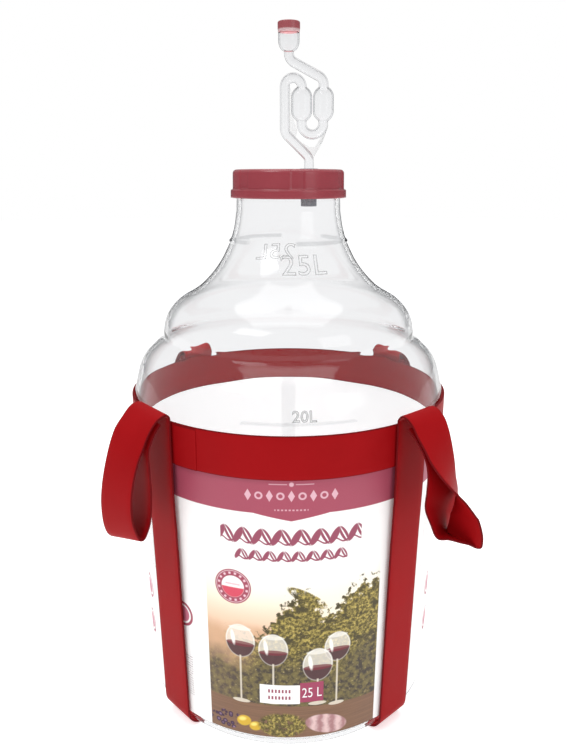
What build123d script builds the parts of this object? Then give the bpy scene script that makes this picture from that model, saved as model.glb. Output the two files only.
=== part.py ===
from build123d import *
import math
import os

# Glass carboy of 25 litres in a carrying harness of red plastic strap.
# Millimetres, +Z up, origin where the crossed straps stand on the floor.
# Azimuth 0 is the front (-Y) and grows towards +X.

# ---- driving dimensions -------------------------------------------------

# strap stock and harness
strap_width = 39.0
strap_thickness = 2.0
strap_gap = 0.15            # between a strap and what it lies against
hoop_clearance = 0.8        # between the glass and the hoop
hoop_height = 38.0
hoop_top = 313.5            # height of its upper edge
flap_angle = 12.0           # lapped end of the hoop beside the front left strap
flap_thickness = 1.2
flap_bite = 0.2             # how deep the flap's weld reaches into the hoop
flap_drop = 0.8             # its upper edge sits this much lower
flap_start = 0.5            # degrees from the edge of the strap to the flap
front_left = -47.0          # azimuths of the four strap ends
front_right = 43.0
crossing_half = 34.0        # half length of the raised stretch of the upper strap
crossing_ramp = 16.0
crossing_bend = 30.0
strap_bend = 60.0           # gentle bends of a strap along the wall

# carrying loops
loop_fold_height = 8.0      # fold line above the hoop
loop_knuckle = 2.0          # radius of the folded edge
loop_drop = 109.0           # from the fold line down to the loop's lowest point
loop_swing_gap = 0.4
loop_reaches = {"front_left": 50.0, "front_right": 58.0, "rear_right": 48.0, "rear_left": 46.0}
loop_inset = 24.0           # inner leg, measured out from the strap
loop_neck = (18.0, -6.0)    # top of the outer leg, out and down from the fold
loop_neck_bend = 20.0
loop_upper_share = 0.86     # the outer leg's way out at the next height, as a share of its reach
loop_upper = -38.0
loop_widest = -70.0
loop_outer_tuck = 5.0       # how far the outer leg comes back in at the bottom
loop_inner_tuck = 9.0       # how far the bottom stops short of the inner leg
loop_bottom_share = 0.55    # its bend radius, as a share of the flat bottom
loop_inner_low = -86.0
loop_inner_top = -28.0
loop_inner_bend = 30.0
loop_weld = (9.0, -3.2)     # where the inner leg is welded to the outer one

# bottle
body_radius = 150.2         # widest, just above the hoop
body_taper = 4.2            # how much narrower the wall is just above the base
base_corner = 16.0
glass_wall = 4.0
base_thickness = 6.0
foot_width = 26.0           # flat ring that the bottle stands on
punt_height = 13.0
stand_gap = 0.3             # between the glass and the straps under it
shoulder_height = 168.0     # from the hoop's upper edge to the straight neck
mark_bead = 1.3             # full mark, a raised ring on the throat
mark_gaps = [(-41.0, 6.0), (142.0, 186.0)]   # azimuths where the ring is open for numbers
mark_bite = 0.5             # how deep a mark is set into the glass
neck_radius = 48.1
finish_step = 1.5           # the threaded part is this much narrower
finish_height = 17.5
thread_foot = 4.2           # from the foot of the threaded part to the thread
neck_length = 32.2          # from the shoulder to the mouth
second_mark_height = 8.0    # the lower mark, above the hoop's upper edge
second_mark_bead = 0.7
second_mark_arc = (-15.0, 22.0)

# thread of the neck and the cap
thread_lead = 12.0
thread_starts = 2
thread_depth = 1.8
thread_root = 2.6           # height of the thread at its root
thread_crest = 1.4
thread_turns = 0.55
thread_bite = 0.4           # how deep a thread's root is set into its wall
thread_clearance = 0.6      # between a crest and the wall it faces

# label
label_thickness = 0.25
label_gap = 0.05
label_tuck = 2.5            # how far its top edge reaches up behind the hoop
label_above_corner = 0.5

# screw cap and its seal
cap_wall = 2.4
cap_top_thickness = 3.2
cap_height = 25.2
cap_edge = 3.5
cap_flange = 2.3            # how far the flange stands out
cap_flange_height = 7.5
cap_flange_edge = 1.2
grip_count = 6
grip_width = 13.0
grip_depth = 0.9
grip_first = 9.0
seal_thickness = 2.0
seal_gap = 0.1

# grommet and airlock
grommet_offset = 19.0
grommet_wall = 3.05
grommet_head = 1.2          # how far the head stands out over the cap
grommet_head_height = 0.8
grommet_length = 33.0       # below the cap's top face
grommet_gap = 0.05
grommet_edge = 0.6
tube_radius = 4.3
tube_wall = 1.1
stem_gap = 0.05
stem_depth = 28.0           # below the cap's top face
chamber_radius = 9.3
chamber_height = 28.5
chamber_wall = 1.2
chamber_rounding = 0.6      # bend at a chamber's ends, as a share of its radius
web_thickness = 1.6
cup_radius = 9.4
cup_height = 22.0
cup_rim_step = 0.8          # the rim is this much narrower, inside the dust cap
cup_rim_height = 7.6
dust_cap_height = 8.4
dust_cap_wall = 1.0
dust_cap_gap = 0.3
dust_cap_edge = 1.2

# places along the airlock, from the stem's axis and up from the cap
airlock_stem_bend = 11.0
airlock_side_tube = -22.3
airlock_side_bend = 33.0
airlock_arch = 79.0
airlock_left_chamber = -7.0
airlock_right_chamber = 12.6
airlock_chambers_base = 42.5
airlock_trap = 30.5
airlock_inlet_bend = 76.0
airlock_cup_x = -18.6
airlock_cup_bend = 95.5
airlock_cup_base = 101.5
airlock_bend = 7.0

# ---- sizes that follow --------------------------------------------------

hoop_radius = body_radius + hoop_clearance + strap_thickness
body_radius_low = body_radius - body_taper
punt_radius = body_radius_low - base_corner - foot_width
finish_radius = neck_radius - finish_step
neck_top = shoulder_height + neck_length
cap_radius = finish_radius + thread_depth + thread_clearance + cap_wall
cap_flange_radius = cap_radius + cap_flange
grommet_radius = tube_radius + stem_gap + grommet_wall
grommet_head_radius = grommet_radius + grommet_head
cup_rim_radius = cup_radius - cup_rim_step
dust_cap_radius = cup_rim_radius + dust_cap_gap + dust_cap_wall
base_z = strap_thickness + stand_gap
body_low_z = base_z + base_corner
cap_top_z = hoop_top + neck_top + seal_thickness + 2 * seal_gap + cap_top_thickness
upright_radius = hoop_radius + strap_gap
fold_z = hoop_top + loop_fold_height
thread_low = hoop_top + neck_top - finish_height + thread_foot
azimuths = {
    "front_left": front_left,
    "front_right": front_right,
    "rear_right": front_left + 180,
    "rear_left": front_right + 180,
}


def body_radius_at(z):
    """Outer radius of the glass between the base corner and the hoop."""
    share = (z - body_low_z) / (hoop_top - body_low_z)
    return body_radius_low + (body_radius - body_radius_low) * share


def at_azimuth(shape, azimuth):
    """Turn a shape that was built at the front (-Y) round to an azimuth."""
    return Rot(0, 0, azimuth) * shape


def band(inner, outer, low, high):
    """A plain ring about the Z axis."""
    ring = Cylinder(outer, high - low) - Cylinder(inner, high - low)
    return Pos(0, 0, (low + high) / 2) * ring


def sector(low, high, start, stop, radius):
    """A wedge about the Z axis between two azimuths, for cutting arcs."""
    corners = [(0, 0)]
    steps = max(2, int((stop - start) / 30) + 1)
    for step in range(steps + 1):
        turn = math.radians(start + (stop - start) * step / steps)
        corners.append((radius * math.sin(turn), -radius * math.cos(turn)))
    return Pos(0, 0, low) * extrude(make_face(Polyline(*corners, close=True)), high - low)


def solid_of_revolution(outline):
    """Revolve a closed outline in the XZ plane about the Z axis."""
    return revolve(make_face(Plane.XZ * outline), Axis.Z, 360)


# ---- bottle -------------------------------------------------------------

# Shoulder shape, as shares of the way from the neck out to the body and of its height.
# A convex lower step, a crease, a rounded upper step and a flared throat.
straight_end = 2.0          # the straight wall ends this far above the hoop's upper edge
second_mark_share = 0.9925
lower_step = [(0.971, 0.089), (0.933, 0.164), (0.878, 0.218), (0.788, 0.269), (0.713, 0.310)]
upper_step = [(0.708, 0.345), (0.690, 0.402), (0.645, 0.458), (0.547, 0.518), (0.371, 0.583), (0.249, 0.655)]
full_mark = (0.064, 0.845)
throat = [(0.157, 0.729), (0.095, 0.801), full_mark, (0.030, 0.911), (0.004, 1.0)]


def on_shoulder(share):
    """A point of the shoulder: (radius, height above the hoop)."""
    return (neck_radius + share[0] * (body_radius - neck_radius), share[1] * shoulder_height)


def second_mark_point():
    """Where the lower mark sits on the glass: (radius, height above the hoop)."""
    return (on_shoulder((second_mark_share, 0))[0], second_mark_height)


def shoulder_points():
    """The shoulder from the hoop to the neck."""
    steps = [on_shoulder(share) for share in lower_step + upper_step + throat]
    return [(body_radius, straight_end), second_mark_point()] + steps


def inset(points, amount):
    """Move a line of points to its left by the wall, along each point's normal."""
    moved = []
    for index, (r, z) in enumerate(points):
        before = points[max(0, index - 1)]
        after = points[min(len(points) - 1, index + 1)]
        along = (after[0] - before[0], after[1] - before[1])
        length = math.hypot(*along)
        moved.append((r - amount * along[1] / length, z + amount * along[0] / length))
    return moved


def bottle_outline(wall):
    """Half section of the bottle's outside, or of its hollow when a wall is given."""
    shoulder = inset(shoulder_points(), wall) if wall else shoulder_points()
    shoulder = [(r, hoop_top + z) for r, z in shoulder]
    floor = base_z + (base_thickness if wall else 0)
    corner = base_corner - wall / 2
    low_radius = body_radius_low - wall
    top = hoop_top + neck_top + (1 if wall else 0)
    neck = (neck_radius - wall, hoop_top + neck_top - finish_height - 2)
    finish = finish_radius - wall
    lines = [
        ThreePointArc((0, floor + punt_height), (punt_radius / 2, floor + punt_height * 0.75),
                      (punt_radius - wall, floor)),
        Line((punt_radius - wall, floor), (low_radius - corner, floor)),
        ThreePointArc((low_radius - corner, floor),
                      (low_radius - corner * (1 - math.sin(math.pi / 4)),
                       floor + corner * (1 - math.cos(math.pi / 4))),
                      (low_radius, floor + corner)),
        Line((low_radius, floor + corner), shoulder[0]),
        Spline(*shoulder, neck, tangents=[(0, 1), (0, 1)]),
        Line(neck, (finish, neck[1] + 2)),
        Line((finish, neck[1] + 2), (finish, top)),
        Line((finish, top), (0, top)),
        Line((0, top), (0, floor + punt_height)),
    ]
    return Wire(Curve() + lines)


def thread(root_radius, outward, low):
    """Two-start thread: ribs on a helix that stand out of or into a wall."""
    sign = 1 if outward else -1
    inner = root_radius - sign * thread_bite
    crest = root_radius + sign * thread_depth
    helix = Helix(pitch=thread_lead, height=thread_lead * thread_turns, radius=root_radius)
    section = make_face(Polyline(
        (inner, -thread_root / 2), (crest, -thread_crest / 2),
        (crest, thread_crest / 2), (inner, thread_root / 2), close=True))
    rib = sweep(Plane.XZ * section, path=helix, is_frenet=True)
    ribs = [Rot(0, 0, 360 * start / thread_starts) * rib for start in range(thread_starts)]
    return [Pos(0, 0, low) * each for each in ribs]


def ring_mark():
    """Raised full mark round the throat, open at the front and at the rear."""
    mark_radius, mark_height = on_shoulder(full_mark)
    z = hoop_top + mark_height
    bead = Pos(0, 0, z) * Torus(mark_radius - mark_bite, mark_bead + mark_bite)
    for start, stop in mark_gaps:
        bead -= sector(z - 3 * mark_bead, z + 3 * mark_bead, start, stop, body_radius)
    return bead


def second_mark():
    """Short raised line at the front, just above the hoop."""
    mark_radius, mark_height = second_mark_point()
    z = hoop_top + mark_height
    half = second_mark_bead + mark_bite
    bead = Pos(0, 0, z) * Torus(mark_radius - mark_bite, half)
    return bead & sector(z - 2 * half, z + 2 * half, *second_mark_arc, 2 * body_radius)


def glass_bottle():
    bottle = solid_of_revolution(bottle_outline(0)) + ring_mark() + second_mark()
    for rib in thread(finish_radius, True, thread_low):
        bottle += rib
    return bottle - solid_of_revolution(bottle_outline(glass_wall))


def label():
    """Paper label wrapped right round the body, its top edge tucked under the hoop."""
    low = body_low_z + label_above_corner
    high = hoop_top - hoop_height + label_tuck
    inner_low = body_radius_at(low) + label_gap
    inner_high = body_radius_at(high) + label_gap
    section = Polyline((inner_low, low), (inner_low + label_thickness, low),
                       (inner_high + label_thickness, high), (inner_high, high), close=True)
    return solid_of_revolution(section)


# ---- cap, seal, grommet -------------------------------------------------

def cap_seal():
    low = hoop_top + neck_top + seal_gap
    return band(finish_radius - glass_wall, finish_radius, low, low + seal_thickness)


def screw_cap():
    """Shallow screw cap with a flange at its rim and flutes for the fingers."""
    low = cap_top_z - cap_height
    shell = Pos(0, 0, low + cap_height / 2) * Cylinder(cap_radius, cap_height)
    shell = fillet(shell.edges().sort_by(Axis.Z)[-1], cap_edge)
    flute_length = cap_height - cap_flange_height
    for index in range(grip_count):
        flute = Pos(0, -cap_radius, low + cap_flange_height + flute_length / 2) * Box(
            grip_width, 2 * grip_depth, flute_length)
        shell -= at_azimuth(flute, grip_first + index * 360 / grip_count)
    flange = Pos(0, 0, low + cap_flange_height / 2) * Cylinder(cap_flange_radius, cap_flange_height)
    flange = fillet(flange.edges().sort_by(Axis.Z)[-1], cap_flange_edge)
    bore_radius = cap_radius - cap_wall
    bore_height = cap_height - cap_top_thickness
    cap = shell + flange - Pos(0, 0, low + bore_height / 2) * Cylinder(bore_radius, bore_height)
    rib_low = thread_low - thread_lead / (2 * thread_starts)
    for rib in thread(bore_radius, False, rib_low):
        cap += rib
    hole = Pos(grommet_offset, 0, cap_top_z) * Cylinder(grommet_radius + grommet_gap, cap_height)
    return cap - hole


def grommet():
    """Rubber sleeve through the cap, with a thin head on top."""
    sleeve = Pos(0, 0, -grommet_length / 2) * Cylinder(grommet_radius, grommet_length)
    sleeve = fillet(sleeve.edges().sort_by(Axis.Z)[0], grommet_edge)
    head = Pos(0, 0, grommet_gap + grommet_head_height / 2) * Cylinder(
        grommet_head_radius, grommet_head_height)
    head = fillet(head.edges().sort_by(Axis.Z)[-1], grommet_edge)
    neck = Pos(0, 0, grommet_gap / 2) * Cylinder(grommet_radius, grommet_gap)
    bore = Cylinder(tube_radius + stem_gap, 3 * grommet_length)
    return Pos(grommet_offset, 0, cap_top_z) * (sleeve + neck + head - bore)


# ---- airlock ------------------------------------------------------------

def airlock_route():
    """Centre line of the moulded tube, from its cup to the end of its stem."""
    trap = (airlock_right_chamber - airlock_left_chamber) / 2 - 0.01
    arch = (airlock_left_chamber - airlock_side_tube) / 2 - 0.01
    corners = [
        (airlock_cup_x, airlock_cup_base + 6),
        (airlock_cup_x, airlock_cup_bend),
        (airlock_right_chamber, airlock_inlet_bend),
        (airlock_right_chamber, airlock_trap),
        (airlock_left_chamber, airlock_trap),
        (airlock_left_chamber, airlock_arch),
        (airlock_side_tube, airlock_arch),
        (airlock_side_tube, airlock_side_bend),
        (0, airlock_stem_bend),
        (0, -stem_depth),
    ]
    bends = [airlock_bend] * 2 + [trap] * 2 + [arch] * 2 + [airlock_bend] * 2
    return FilletPolyline(*corners, radius=bends)


def tube_along(route, radius):
    start = Plane(origin=route @ 0, x_dir=(0, 1, 0), z_dir=route % 0)
    return sweep(start * Circle(radius), path=route)


def capsule(x, low, high, radius):
    """Upright cylinder with well rounded ends."""
    body = Pos(x, 0, (low + high) / 2) * Cylinder(radius, high - low)
    return fillet(body.edges().filter_by(GeomType.CIRCLE), radius * chamber_rounding)


def airlock():
    """S-shaped bubbler moulded in one piece, with a web between its tubes."""
    route = Plane.XZ * airlock_route()
    chambers_top = airlock_chambers_base + chamber_height
    outer = tube_along(route, tube_radius)
    inner = tube_along(route, tube_radius - tube_wall)
    for x in (airlock_left_chamber, airlock_right_chamber):
        outer += capsule(x, airlock_chambers_base, chambers_top, chamber_radius)
        inner += capsule(x, airlock_chambers_base + chamber_wall, chambers_top - chamber_wall,
                         chamber_radius - chamber_wall)
    cup_top = airlock_cup_base + cup_height
    cup = Pos(airlock_cup_x, 0, airlock_cup_base + (cup_height - cup_rim_height) / 2) * Cylinder(
        cup_radius, cup_height - cup_rim_height)
    cup = fillet(cup.edges().sort_by(Axis.Z)[0], cup_radius * chamber_rounding)
    rim = Pos(airlock_cup_x, 0, cup_top - cup_rim_height / 2) * Cylinder(cup_rim_radius, cup_rim_height)
    hollow = Pos(airlock_cup_x, 0, airlock_cup_base + chamber_wall + cup_height / 2) * Cylinder(
        cup_rim_radius - chamber_wall, cup_height)
    hollow = fillet(hollow.edges().sort_by(Axis.Z)[0], cup_rim_radius * chamber_rounding)
    web_outline = Polyline(
        (airlock_cup_x, airlock_cup_bend), (airlock_right_chamber, airlock_inlet_bend),
        (airlock_right_chamber, airlock_trap), (0, airlock_stem_bend),
        (airlock_side_tube, airlock_side_bend), (airlock_side_tube, airlock_arch), close=True)
    web = extrude(make_face(Plane.XZ * web_outline), web_thickness / 2, both=True)
    moulding = outer + cup + rim + web - inner - hollow
    return Pos(grommet_offset, 0, cap_top_z) * moulding


def airlock_dust_cap():
    """Loose cap over the airlock's cup."""
    top = dust_cap_height
    shell = Pos(0, 0, top / 2) * Cylinder(dust_cap_radius, top)
    shell = fillet(shell.edges().sort_by(Axis.Z)[-1], dust_cap_edge)
    bore = Pos(0, 0, (top - dust_cap_wall) / 2) * Cylinder(
        cup_rim_radius + dust_cap_gap, top - dust_cap_wall)
    rim_top = airlock_cup_base + cup_height
    z = cap_top_z + rim_top + dust_cap_wall + dust_cap_gap - dust_cap_height
    return Pos(grommet_offset + airlock_cup_x, 0, z) * (shell - bore)


# ---- harness ------------------------------------------------------------

def hoop_band():
    """Closed hoop; one end laps over the other beside the front left strap."""
    low = hoop_top - hoop_height
    hoop = band(hoop_radius - strap_thickness, hoop_radius, low, hoop_top)
    lap_start = front_left + math.degrees(strap_width / 2 / hoop_radius) + flap_start
    flap = band(hoop_radius - flap_bite, hoop_radius + flap_thickness, low, hoop_top - flap_drop)
    side = sector(low - 1, hoop_top + 1, lap_start, lap_start + flap_angle, 2 * hoop_radius)
    return hoop + (flap & side)


def strap_path(over):
    """Route of a long strap in its own upright plane; over lifts it across the other."""
    middle = strap_thickness / 2
    corner = base_corner + stand_gap + middle
    top = fold_z - loop_knuckle - loop_swing_gap - middle
    side = upright_radius + middle
    low_side = body_radius_low + label_gap + label_thickness + stand_gap + middle
    half = [(side, top), (side, hoop_top - hoop_height), (low_side, body_low_z), (low_side, middle)]
    bends = [strap_bend, strap_bend, corner]
    if over:
        half += [(crossing_half + crossing_ramp, middle), (crossing_half, middle + strap_thickness)]
        bends += [crossing_bend, crossing_bend]
    other = [(-r, z) for r, z in reversed(half)]
    return FilletPolyline(*half, *other, radius=bends + bends[::-1])


def strap(route):
    """Give a route in the XZ plane the strap's thickness and width."""
    ribbon = Wire(route.edges()).offset_2d(strap_thickness / 2, side=Side.BOTH)
    return extrude(make_face(Plane.XZ * ribbon), strap_width / 2, both=True)


def long_strap(azimuth, over):
    """U-shaped strap under the bottle, up both sides outside the hoop."""
    return at_azimuth(strap(strap_path(over)), azimuth - 90)


def loop_section(reach):
    """Side view of a carrying loop: out from the strap, and down from the fold."""
    bottom_start = reach - loop_outer_tuck
    bottom_end = loop_inset + loop_inner_tuck
    bottom_bend = loop_bottom_share * (bottom_start - bottom_end)
    route = FilletPolyline(
        (0, 0), loop_neck, (reach * loop_upper_share, loop_upper), (reach, loop_widest),
        (bottom_start, -loop_drop), (bottom_end, -loop_drop),
        (loop_inset, loop_inner_low), (loop_inset, loop_inner_top),
        radius=[loop_neck_bend, strap_bend, strap_bend, bottom_bend, bottom_bend, loop_inner_bend])
    tail = Line((loop_inset, loop_inner_top - 1), loop_weld)
    ribbon = make_face(Wire(route.edges()).offset_2d(strap_thickness / 2, side=Side.BOTH))
    weld = make_face(Wire([tail]).offset_2d(strap_thickness / 2, side=Side.BOTH))
    return ribbon + weld + Circle(loop_knuckle)


def carrying_loop(name):
    """Hand loop folded outward from the top of a strap, hanging at rest."""
    loop = extrude(Plane.XZ * loop_section(loop_reaches[name]), strap_width / 2, both=True)
    fold_radius = upright_radius + strap_thickness / 2
    return at_azimuth(Pos(fold_radius, 0, fold_z) * loop, azimuths[name] - 90)


# ---- all nodes ----------------------------------------------------------

nodes = {
    "glass_bottle": glass_bottle(),
    "label": label(),
    "cap_seal": cap_seal(),
    "screw_cap": screw_cap(),
    "grommet": grommet(),
    "airlock": airlock(),
    "airlock_dust_cap": airlock_dust_cap(),
    "hoop_band": hoop_band(),
    "strap_lower": long_strap(front_left, False),
    "strap_upper": long_strap(front_right, True),
}
for loop_name in azimuths:
    nodes["loop_" + loop_name] = carrying_loop(loop_name)

os.makedirs("parts", exist_ok=True)
for node_name, shape in nodes.items():
    export_step(shape, f"parts/{node_name}.step")
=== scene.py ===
import math
import bmesh
import bpy
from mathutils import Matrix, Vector, geometry


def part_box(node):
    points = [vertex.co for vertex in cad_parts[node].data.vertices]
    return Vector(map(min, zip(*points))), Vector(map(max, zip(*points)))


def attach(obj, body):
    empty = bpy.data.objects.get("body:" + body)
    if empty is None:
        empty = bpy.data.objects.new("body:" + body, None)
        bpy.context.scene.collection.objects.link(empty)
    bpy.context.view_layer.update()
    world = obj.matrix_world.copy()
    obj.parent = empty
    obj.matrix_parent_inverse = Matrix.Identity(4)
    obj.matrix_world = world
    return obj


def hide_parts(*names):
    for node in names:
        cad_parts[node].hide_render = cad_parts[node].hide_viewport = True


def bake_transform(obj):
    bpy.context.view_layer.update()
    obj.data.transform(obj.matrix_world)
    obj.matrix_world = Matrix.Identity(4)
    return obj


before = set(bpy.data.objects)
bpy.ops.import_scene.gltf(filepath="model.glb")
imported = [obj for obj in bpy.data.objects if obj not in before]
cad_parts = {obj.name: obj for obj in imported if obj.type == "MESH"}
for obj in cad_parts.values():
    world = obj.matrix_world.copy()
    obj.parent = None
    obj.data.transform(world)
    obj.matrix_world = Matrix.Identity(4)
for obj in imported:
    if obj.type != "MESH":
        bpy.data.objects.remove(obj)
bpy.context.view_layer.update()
mm = 0.001

# ---- Studio -------------------------------------------------------------
# A pale floor in a bright room with soft boxes above. Seen through the glass,
# floor and room are a shade greyer. The camera looks a little down at the label.

hoop_low, hoop_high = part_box("hoop_band")
hoop_top = hoop_high.z
eye = Vector((0, -681.2 * mm, hoop_top + 197.6 * mm))
camera_data = bpy.data.cameras.new("camera")
camera_data.lens = 33.98
camera_data.shift_x = -0.0065
camera_data.clip_start = 0.01
camera = bpy.data.objects.new("camera", camera_data)
camera.location = eye
camera.rotation_euler = (math.radians(90 - 15.51), 0, 0)
bpy.context.collection.objects.link(camera)
bpy.context.scene.camera = camera
bpy.context.scene.view_settings.view_transform = "Standard"


def soft_box(name, place, target, width, height, watts):
    """A rectangular soft light that faces a target."""
    light = bpy.data.lights.new(name, "AREA")
    light.shape = "RECTANGLE"
    light.size = width
    light.size_y = height
    light.energy = watts
    lamp = bpy.data.objects.new(name, light)
    lamp.location = place
    facing = Vector(target) - Vector(place)
    lamp.rotation_euler = facing.to_track_quat("-Z", "Y").to_euler()
    bpy.context.collection.objects.link(lamp)


soft_box("key box", (-0.9, -1.0, 1.9), (0, 0, 0.3), 0.9, 0.7, 9.5)
soft_box("fill box", (1.2, -1.3, 1.0), (0, 0, 0.2), 0.9, 0.9, 4.5)
soft_box("top box", (0, 0.2, 2.0), (0, 0, 0.2), 1.4, 1.4, 15)


def finished(name, shape, smooth_angle=40):
    """An object from a bmesh, shaded smooth but for its sharp edges."""
    mesh = bpy.data.meshes.new(name)
    limit = math.radians(smooth_angle)
    for edge in shape.edges:
        edge.smooth = not (edge.is_manifold and edge.calc_face_angle(0) > limit)
    for face in shape.faces:
        face.smooth = True
    shape.to_mesh(mesh)
    shape.free()
    piece = bpy.data.objects.new(name, mesh)
    bpy.context.collection.objects.link(piece)
    return piece


floor_shape = bmesh.new()
bmesh.ops.create_circle(floor_shape, cap_ends=True, segments=64, radius=9.0)
floor = finished("floor", floor_shape)


def through(operation, swapped=False):
    """A method that sends an Amount and what it meets through a Math node."""
    def method(amount, *others):
        made = amount.tree.nodes.new("ShaderNodeMath")
        made.operation = operation
        for socket, term in zip(made.inputs, (*others, amount) if swapped else (amount, *others)):
            if isinstance(term, Amount):
                amount.tree.links.new(term.socket, socket)
            else:
                socket.default_value = term
        return Amount(amount.tree, made.outputs[0])
    return method


class Amount:
    """A number that varies over a surface: arithmetic on it adds Math nodes."""

    __add__ = __radd__ = through("ADD")
    __mul__ = __rmul__ = through("MULTIPLY")
    __sub__ = through("SUBTRACT")
    __rsub__ = through("SUBTRACT", swapped=True)
    __truediv__ = through("DIVIDE")
    __rtruediv__ = through("DIVIDE", swapped=True)
    __lt__ = through("LESS_THAN")
    __gt__ = through("GREATER_THAN")
    least = through("MINIMUM")
    most = through("MAXIMUM")
    size = through("ABSOLUTE")
    root = through("SQRT")
    wave = through("SINE")
    turn = through("ARCTAN2")
    repeated = through("FRACT")

    def __init__(self, tree, socket):
        self.tree = tree
        self.socket = socket

    def __neg__(self):
        return self * -1.0

    def held(self):
        """Kept between 0 and 1."""
        return self.least(1.0).most(0.0)

    def step(self, low, high):
        """0 at low and below, 1 at high and above, smooth between."""
        made = self.tree.nodes.new("ShaderNodeMapRange")
        made.interpolation_type = "SMOOTHSTEP"
        self.tree.links.new(self.socket, made.inputs["Value"])
        made.inputs["From Min"].default_value = low
        made.inputs["From Max"].default_value = high
        return Amount(self.tree, made.outputs["Result"])


class Nodes:
    """Nodes of a tree, made from Python expressions."""

    def __init__(self, tree):
        self.tree = tree

    def put(self, socket, value):
        if isinstance(value, Amount):
            self.tree.links.new(value.socket, socket)
        elif isinstance(value, bpy.types.NodeSocket):
            self.tree.links.new(value, socket)
        elif isinstance(value, tuple) and len(value) == 3 and socket.type == "RGBA":
            socket.default_value = (*value, 1)
        else:
            socket.default_value = value

    def node(self, kind, settings=None, **sockets):
        """Any node: its settings first, then the values or links of its sockets."""
        made = self.tree.nodes.new(kind)
        for name, value in (settings or {}).items():
            setattr(made, name, value)
        for name, value in sockets.items():
            self.put(made.inputs[name.replace("_", " ")], value)
        return made

    def amount(self, socket):
        return Amount(self.tree, socket)

    def coordinates(self, kind="Object"):
        return self.node("ShaderNodeTexCoord").outputs[kind]

    def parts(self, kind="Object"):
        """The three numbers of a place."""
        outputs = self.node("ShaderNodeSeparateXYZ", Vector=self.coordinates(kind)).outputs
        return [self.amount(outputs[axis]) for axis in "XYZ"]

    def together(self, x=0.0, y=0.0, z=0.0):
        return self.node("ShaderNodeCombineXYZ", X=x, Y=y, Z=z).outputs[0]

    def noise(self, scale, detail=3.0, roughness=0.5, at=None):
        made = self.node("ShaderNodeTexNoise", Vector=at or self.coordinates(), Scale=scale,
                         Detail=detail, Roughness=roughness)
        return self.amount(made.outputs["Fac"])

    def mix(self, share, first, second):
        """Colour that goes from first to second as share goes from 0 to 1."""
        made = self.node("ShaderNodeMix", {"data_type": "RGBA"})
        self.put(made.inputs["Factor"], share)
        for socket, value in zip((made.inputs[6], made.inputs[7]), (first, second)):
            self.put(socket, value)
        return made.outputs[2]

    def layers(self, ground, *coats):
        """Colours laid over a ground one by one, each with its share."""
        for colour, share in coats:
            ground = self.mix(share, ground, colour)
        return ground


class Finish(Nodes):
    """A material with one Principled shader, whose varying sockets take expressions."""

    def __init__(self, name, **fixed):
        self.material = bpy.data.materials.new(name)
        self.material.use_nodes = True
        super().__init__(self.material.node_tree)
        self.shader = self.tree.nodes["Principled BSDF"]
        for name, value in fixed.items():
            self.set(name.replace("_", " "), value)

    def set(self, name, value):
        self.put(self.shader.inputs[name], value)

    def bump(self, height, strength, distance):
        made = self.node("ShaderNodeBump", Height=height, Strength=strength, Distance=distance)
        self.set("Normal", made.outputs[0])

    def ray(self, kind):
        """1 for rays of one kind, 0 for the others."""
        return self.amount(self.node("ShaderNodeLightPath").outputs[kind])

    def blend_in(self, share, other):
        """The surface goes over to another shader as share goes from 0 to 1."""
        both = self.node("ShaderNodeMixShader")
        for socket, value in zip(both.inputs, (share, self.shader.outputs[0], other)):
            self.put(socket, value)
        self.put(self.tree.nodes["Material Output"].inputs["Surface"], both.outputs[0])

    def let_lamps_through(self):
        """Clear stuff doesn't shade what is behind it from the lamps."""
        blocked = self.ray("Is Shadow Ray").most(self.ray("Is Diffuse Ray"))
        self.blend_in(blocked, self.node("ShaderNodeBsdfTransparent").outputs[0])

    def grazed(self):
        """0 where the surface is seen face on, 1 where it is seen edge on."""
        return self.amount(self.node("ShaderNodeLayerWeight", Blend=0.5).outputs["Facing"])

    def mottle(self, share, first, second):
        """A base colour between two shades."""
        self.set("Base Color", self.mix(share, first, second))


def ink(red, green, blue):
    """Screen values of 0 to 255 as the shader's linear colour."""
    return tuple(((value / 255 + 0.055) / 1.055) ** 2.4 if value > 10 else value / 3294.6
                 for value in (red, green, blue))


floor_finish = Finish("floor paper", Base_Color=(0.9, 0.9, 0.9), Roughness=0.9,
                      Emission_Color=(1.0, 1.0, 1.0), Emission_Strength=0.5)
floor_grain = floor_finish.noise(60.0)
floor_finish.set("Roughness", 0.85 + 0.1 * floor_grain)
behind_glass = (0.94, 0.94, 0.945)
floor_glow = floor_finish.node("ShaderNodeEmission", Color=behind_glass, Strength=1.0)
floor_finish.blend_in(floor_finish.ray("Is Transmission Ray"), floor_glow.outputs[0])
floor.data.materials.append(floor_finish.material)

room = bpy.data.worlds.new("room")
room.use_nodes = True
bpy.context.scene.world = room
walls = Nodes(room.node_tree)
up_room = walls.parts("Generated")[2]
seen_by = walls.node("ShaderNodeLightPath").outputs
through_glass = walls.mix(up_room.step(-0.05, 0.8), behind_glass, (0.35, 0.35, 0.36))
soft_dome = walls.mix(up_room.step(-0.2, 0.9), (0.36, 0.36, 0.37), (0.80, 0.80, 0.80))
gloss_walls = walls.mix(up_room.step(-0.1, 0.8), (0.10, 0.10, 0.105), (0.75, 0.75, 0.75))
wall_colour = walls.mix(seen_by["Is Glossy Ray"], soft_dome, gloss_walls)
wall_colour = walls.mix(seen_by["Is Transmission Ray"], wall_colour, through_glass)
wall_colour = walls.mix(seen_by["Is Camera Ray"], wall_colour, (1.0, 1.0, 1.0))
walls.put(room.node_tree.nodes["Background"].inputs["Color"], wall_colour)

# ---- Glass bottle -------------------------------------------------------
# Clear soda glass, blown in a mould: a straight body, a stepped shoulder, a
# flared throat and a threaded neck, with raised marks on the throat.

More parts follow.
